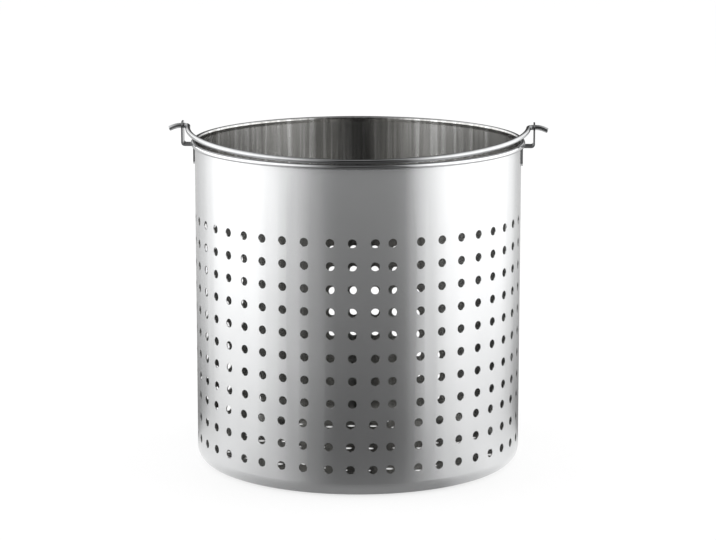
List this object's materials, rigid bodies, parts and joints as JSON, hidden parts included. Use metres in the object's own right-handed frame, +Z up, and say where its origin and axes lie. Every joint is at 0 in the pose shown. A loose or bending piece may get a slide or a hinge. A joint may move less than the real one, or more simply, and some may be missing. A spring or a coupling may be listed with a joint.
{
  "type": "steamer basket",
  "caption": "Round perforated steel basket for steaming in a stock pot, with a rolled rim, welded ears and a swinging wire bail.",
  "frame": {"origin": "middle of the floor's underside, on the surface that the basket stands on", "axes": "+Z up along the basket's axis; X runs through both ears and is the bail's pivot line; the bail lies towards -Y at rest"},
  "size_m": [0.3614, 0.3176, 0.3258],
  "materials": {
    "shell_steel": "satin, polished round the wall",
    "ear_steel": "plain rolled strip with spot weld marks",
    "wire_steel": "bright drawn wire"
  },
  "bodies": {
    "basket": {"basket_shell": "shell_steel", "left_ear": "ear_steel", "right_ear": "ear_steel"},
    "bail": {"bail_handle": "wire_steel"}
  },
  "joints": [
    {"name": "bail_swing", "type": "hinge", "parent": "basket", "child": "bail", "pos_m": [0, 0, 0.3211], "axis": [-1, 0, 0], "range_deg": [0, 186.8]}
  ]
}
